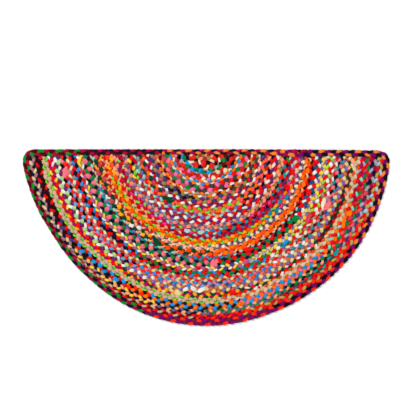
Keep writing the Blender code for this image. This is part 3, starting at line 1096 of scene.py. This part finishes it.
def binding_path():
    """The middle of the binding once round from its join, the way out, its width and the run."""
    outer, inner = [], []
    corners = ((LEFT_CORNER, 90.0, LEFT_TURN % 360.0), (RIGHT_CORNER, RIGHT_TURN, 90.0))
    for centre, first, last in corners:
        turns = np.linspace(first, last, CORNER_PLACES)
        outer.append(centre + polar(CORNER_RADIUS, turns))
        inner.append(centre + polar(CORNER_RADIUS - CORNER_BORDER, turns))
    arc_outer = polar(around("reach", ARC), ARC)
    arc_inner = polar(border_inside(ARC), ARC)
    x = np.linspace(RIGHT_CORNER[0], LEFT_CORNER[0], EDGE_PLACES)[1:-1]
    edge_outer = np.column_stack((x, np.zeros_like(x)))
    edge_inner = np.column_stack((x, -edge_width(x)))
    outer = np.concatenate((outer[0][1:], arc_outer[1:-1], outer[1], edge_outer))
    inner = np.concatenate((inner[0][1:], arc_inner[1:-1], inner[1], edge_inner))
    middle = (outer + inner) / 2.0
    from_join = np.where(middle[:, 1] > -NEAR_EDGE, np.abs(middle[:, 0] - JOIN_X), np.inf)
    order = np.roll(np.arange(len(middle)), -np.argmin(from_join))
    order = np.append(order, order[0])
    away = outer - inner
    width = np.hypot(*away.T)
    away = away / width[:, None]
    return middle[order], away[order], width[order], run_along(middle[order])


middle, away, width, run = binding_path()
BINDING = Path(on_floor(middle), away, width, run)
print("binding:", round(run[-1], 3), "m round the mat")

# %% [markdown]
# The binding's chart goes by the distance from the join, so two helpers turn an angle on the arc
# or a place on the straight edge into that distance. Some of its beats were counted at the outer
# edge, half a swing away from the inner one.

# %% Plait the binding


def nearest_run(target):
    """Distance along the binding to the place on its middle that is nearest to a target."""
    return float(run[np.argmin(np.hypot(*(middle - target).T))])


def along_arc(angle):
    """Distance along the binding to an angle on the arc."""
    return nearest_run(polar(around("reach", angle), angle))


def along_edge(x):
    """Distance along the binding to a place on the straight edge."""
    return nearest_run(np.array((x, 0.0)))


BINDING_CHART = (
    (0.0, "apricot crimson violet"),
    (along_edge(0.174), "apricot crimson navy"),
    (along_edge(-0.100), "wine crimson navy"),
    (along_edge(-0.300), "wine crimson leaf"),
    (along_arc(215), "navy crimson leaf"),
    (along_arc(250), "violet plum scarlet"),
    (along_arc(293), "black violet scarlet"),
    (along_arc(327.5), "black violet apricot"),
    (along_edge(0.262), "navy violet crimson"),
)
BINDING_BEATS = (
    (along_edge(0.1528), 0.33),
    (along_edge(-0.0765), 5.33),
    (along_edge(-0.2759), 10.33),
    (along_edge(-0.4082), 13.33),
    (along_arc(207.8), 18.17),
    (along_arc(248.5), 25.17),
    (along_arc(271.3), 29.17),
    (along_arc(296.2), 33.17),
    (along_edge(0.3522), 45.67),
    (along_edge(0.3081), 46.67),
)
binding = plait("binding_rags", BINDING, BINDING_CHART, BINDING_BEATS, BORDER_HEIGHT,
                shares=(1.26, 1.32, 1.06), seed=50, tucked=False, turn=SLOW_TURN)
sew_on(binding, "border_braid")
print("whole mat:", triangles(), "triangles")

# %% [markdown]
# ## Floor and light
#
# The mat lies on a plain pale floor, under two large soft lights and a white sky. The stronger
# light comes from behind on the left, so the lobes throw soft shadows to their near side.

# %% Floor and light
FLOOR_REACH = 9.0
PALE = (0.96, 0.96, 0.96, 1.0)
SKY_STRENGTH = 0.42


def pale_floor():
    """A large plain floor."""
    bm = bmesh.new()
    bmesh.ops.create_grid(bm, x_segments=1, y_segments=1, size=FLOOR_REACH)
    mesh = bpy.data.meshes.new("floor")
    bm.to_mesh(mesh)
    bm.free()
    floor = bpy.data.objects.new("floor", mesh)
    bpy.context.scene.collection.objects.link(floor)
    material = bpy.data.materials.new("pale_floor")
    material.use_nodes = True
    shader = material.node_tree.nodes["Principled BSDF"]
    shader.inputs["Base Color"].default_value = PALE
    shader.inputs["Roughness"].default_value = 0.9
    mesh.materials.append(material)


def soft_light(name, place, size, power):
    """A square soft box that faces the middle of the mat."""
    data = bpy.data.lights.new(name, "AREA")
    data.size = size
    data.energy = power
    light = bpy.data.objects.new(name, data)
    light.location = place
    light.rotation_euler = (-light.location).to_track_quat("-Z", "Y").to_euler()
    bpy.context.scene.collection.objects.link(light)


pale_floor()
soft_light("key_light", place=(-1.5, 2.0, 5.0), size=3.6, power=256.0)
soft_light("fill_light", place=(3.0, -2.5, 5.0), size=3.0, power=80.0)
world = bpy.data.worlds.new("studio")
world.use_nodes = True
sky = world.node_tree.nodes["Background"]
sky.inputs["Color"].default_value = (1.0, 1.0, 1.0, 1.0)
sky.inputs["Strength"].default_value = SKY_STRENGTH
bpy.context.scene.world = world
bpy.context.scene.view_settings.view_transform = "Standard"
print("lights:", len(bpy.data.lights))

# %% [markdown]
# ## Camera
#
# The photograph looks straight down on the mat. Three sizes read from it place the camera: the
# side of the picture, the mat's length and the mat's middle, all in pixels. A long lens from high
# above shows hardly any perspective.

# %% Camera
PHOTO_SIDE = 420
MAT_IN_PHOTO = 367.3            # from its left end to its right end
MAT_MIDDLE = (206.15, 237.55)   # from the photograph's top left corner
METRES_PER_PIXEL = (cad_high.x - cad_low.x) / MAT_IN_PHOTO
CAMERA_HEIGHT = 3.0
SENSOR = 36.0                   # millimetres

camera_data = bpy.data.cameras.new("camera")
camera_data.sensor_width = SENSOR
camera_data.lens = SENSOR * CAMERA_HEIGHT / (PHOTO_SIDE * METRES_PER_PIXEL)
camera = bpy.data.objects.new("camera", camera_data)
camera.location = (
    (PHOTO_SIDE / 2 - MAT_MIDDLE[0]) * METRES_PER_PIXEL,
    (MAT_MIDDLE[1] - PHOTO_SIDE / 2) * METRES_PER_PIXEL,
    CAMERA_HEIGHT + ROW_HEIGHT,
)
bpy.context.scene.collection.objects.link(camera)
bpy.context.scene.camera = camera
print("lens:", round(camera_data.lens, 1), "mm")
